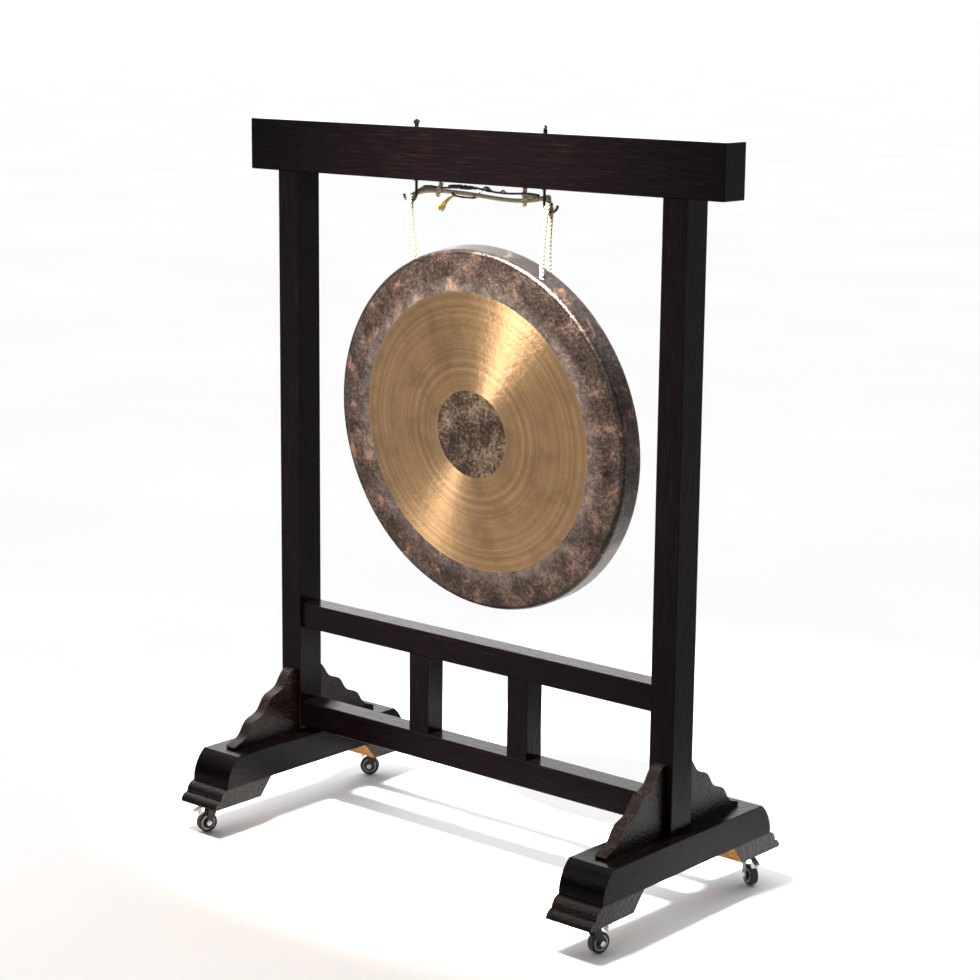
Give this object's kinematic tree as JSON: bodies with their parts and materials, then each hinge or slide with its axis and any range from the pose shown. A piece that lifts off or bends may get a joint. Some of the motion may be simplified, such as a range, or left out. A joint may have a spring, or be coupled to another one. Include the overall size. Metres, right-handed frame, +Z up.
{
  "type": "tam tam gong on rolling stand",
  "caption": "Large bronze tam-tam hung by a doubled rope from hook bolts under the beam of a lacquered wooden floor stand on braked swivel casters.",
  "frame": {"origin": "on the floor, under the middle of the top beam: the centre of the bottom of the bounding box", "axes": "+X along the beam to the player's right when facing the gong, +Y from the struck face to its open back, +Z up"},
  "size_m": [1.3, 0.6636, 1.614],
  "materials": {
    "lacquered_wood": "dark brown-black gloss lacquer over hardwood",
    "gong_bronze": "beaten bronze, lathed bright ring inside a dark fire-scaled border",
    "black_steel": "blackened steel rod",
    "caster_steel": "black enamelled pressed steel",
    "zinc_steel": "bright zinc plate",
    "pedal_steel": "plated pressed steel",
    "hub_plastic": "black moulded hub with a pale ring",
    "tyre_rubber": "black rubber, dusty",
    "straw_rope": "three-strand twisted straw-coloured rope",
    "frayed_strand": "loose yellow fibres",
    "dark_cord": "thin dark brown twisted cord"
  },
  "bodies": {
    "stand": {"top_beam": "lacquered_wood", "post_left": "lacquered_wood", "post_right": "lacquered_wood", "middle_rail": "lacquered_wood", "bottom_rail": "lacquered_wood", "stile_left": "lacquered_wood", "stile_right": "lacquered_wood", "foot_left": "lacquered_wood", "foot_right": "lacquered_wood", "toe_block_front_left": "lacquered_wood", "toe_block_front_right": "lacquered_wood", "toe_block_rear_left": "lacquered_wood", "toe_block_rear_right": "lacquered_wood", "bracket_front_left": "lacquered_wood", "bracket_front_right": "lacquered_wood", "bracket_rear_left": "lacquered_wood", "bracket_rear_right": "lacquered_wood", "hook_bolt_left": "black_steel", "hook_bolt_right": "black_steel", "hook_nuts": "black_steel", "wing_nuts": "black_steel", "rope_bridge": "straw_rope", "rope_knot": "straw_rope", "rope_tail": "frayed_strand", "binding_cord": "dark_cord", "cord_tangle": "dark_cord", "caster_plate_front_left": "caster_steel", "caster_plate_front_right": "caster_steel", "caster_plate_rear_left": "caster_steel", "caster_plate_rear_right": "caster_steel", "kingpins": "zinc_steel", "caster_screws": "zinc_steel"},
    "sling": {"rope_leg_left": "straw_rope", "rope_leg_right": "straw_rope"},
    "gong": {"gong": "gong_bronze"},
    "swivel_front_left": {"caster_fork_front_left": "caster_steel", "axle_bolt_front_left": "zinc_steel", "axle_nut_front_left": "zinc_steel"},
    "wheel_front_left": {"wheel_hub_front_left": "hub_plastic", "tyre_front_left": "tyre_rubber"},
    "brake_front_left": {"brake_pedal_front_left": "pedal_steel"},
    "swivel_front_right": {"caster_fork_front_right": "caster_steel", "axle_bolt_front_right": "zinc_steel", "axle_nut_front_right": "zinc_steel"},
    "wheel_front_right": {"wheel_hub_front_right": "hub_plastic", "tyre_front_right": "tyre_rubber"},
    "brake_front_right": {"brake_pedal_front_right": "pedal_steel"},
    "swivel_rear_left": {"caster_fork_rear_left": "caster_steel", "axle_bolt_rear_left": "zinc_steel", "axle_nut_rear_left": "zinc_steel"},
    "wheel_rear_left": {"wheel_hub_rear_left": "hub_plastic", "tyre_rear_left": "tyre_rubber"},
    "brake_rear_left": {"brake_pedal_rear_left": "pedal_steel"},
    "swivel_rear_right": {"caster_fork_rear_right": "caster_steel", "axle_bolt_rear_right": "zinc_steel", "axle_nut_rear_right": "zinc_steel"},
    "wheel_rear_right": {"wheel_hub_rear_right": "hub_plastic", "tyre_rear_right": "tyre_rubber"},
    "brake_rear_right": {"brake_pedal_rear_right": "pedal_steel"}
  },
  "joints": [
    {"name": "sling_swing", "type": "hinge", "parent": "stand", "child": "sling", "pos_m": [0, 0, 1.438], "axis": [1, 0, 0], "range_deg": [-20, 20]},
    {"name": "gong_tilt", "type": "hinge", "parent": "sling", "child": "gong", "pos_m": [0, 0, 1.3055], "axis": [1, 0, 0], "range_deg": [-8, 8]},
    {"name": "swivel_turn_front_left", "type": "hinge", "parent": "stand", "child": "swivel_front_left", "pos_m": [-0.547, -0.272, 0.0687], "axis": [0, 0, 1], "continuous": true},
    {"name": "wheel_spin_front_left", "type": "hinge", "parent": "swivel_front_left", "child": "wheel_front_left", "pos_m": [-0.55316, -0.28891, 0.0225], "axis": [0.9397, -0.342, 0], "continuous": true},
    {"name": "brake_press_front_left", "type": "hinge", "parent": "swivel_front_left", "child": "brake_front_left", "pos_m": [-0.55042, -0.2814, 0.0607], "axis": [0.9397, -0.342, 0], "range_deg": [0, 8]},
    {"name": "swivel_turn_front_right", "type": "hinge", "parent": "stand", "child": "swivel_front_right", "pos_m": [0.547, -0.272, 0.0687], "axis": [0, 0, 1], "continuous": true},
    {"name": "wheel_spin_front_right", "type": "hinge", "parent": "swivel_front_right", "child": "wheel_front_right", "pos_m": [0.55166, -0.25461, 0.0225], "axis": [-0.9659, 0.2588, 0], "continuous": true},
    {"name": "brake_press_front_right", "type": "hinge", "parent": "swivel_front_right", "child": "brake_front_right", "pos_m": [0.54959, -0.26234, 0.0607], "axis": [-0.9659, 0.2588, 0], "range_deg": [0, 8]},
    {"name": "swivel_turn_rear_left", "type": "hinge", "parent": "stand", "child": "swivel_rear_left", "pos_m": [-0.547, 0.272, 0.0687], "axis": [0, 0, 1], "continuous": true},
    {"name": "wheel_spin_rear_left", "type": "hinge", "parent": "swivel_rear_left", "child": "wheel_rear_left", "pos_m": [-0.56156, 0.26142, 0.0225], "axis": [0.5878, -0.809, 0], "continuous": true},
    {"name": "brake_press_rear_left", "type": "hinge", "parent": "swivel_rear_left", "child": "brake_rear_left", "pos_m": [-0.55509, 0.26612, 0.0607], "axis": [0.5878, -0.809, 0], "range_deg": [0, 8]},
    {"name": "swivel_turn_rear_right", "type": "hinge", "parent": "stand", "child": "swivel_rear_right", "pos_m": [0.547, 0.272, 0.0687], "axis": [0, 0, 1], "continuous": true},
    {"name": "wheel_spin_rear_right", "type": "hinge", "parent": "swivel_rear_right", "child": "wheel_rear_right", "pos_m": [0.56289, 0.26355, 0.0225], "axis": [0.4695, 0.8829, 0], "continuous": true},
    {"name": "brake_press_rear_right", "type": "hinge", "parent": "swivel_rear_right", "child": "brake_rear_right", "pos_m": [0.55583, 0.26731, 0.0607], "axis": [0.4695, 0.8829, 0], "range_deg": [0, 8]}
  ]
}
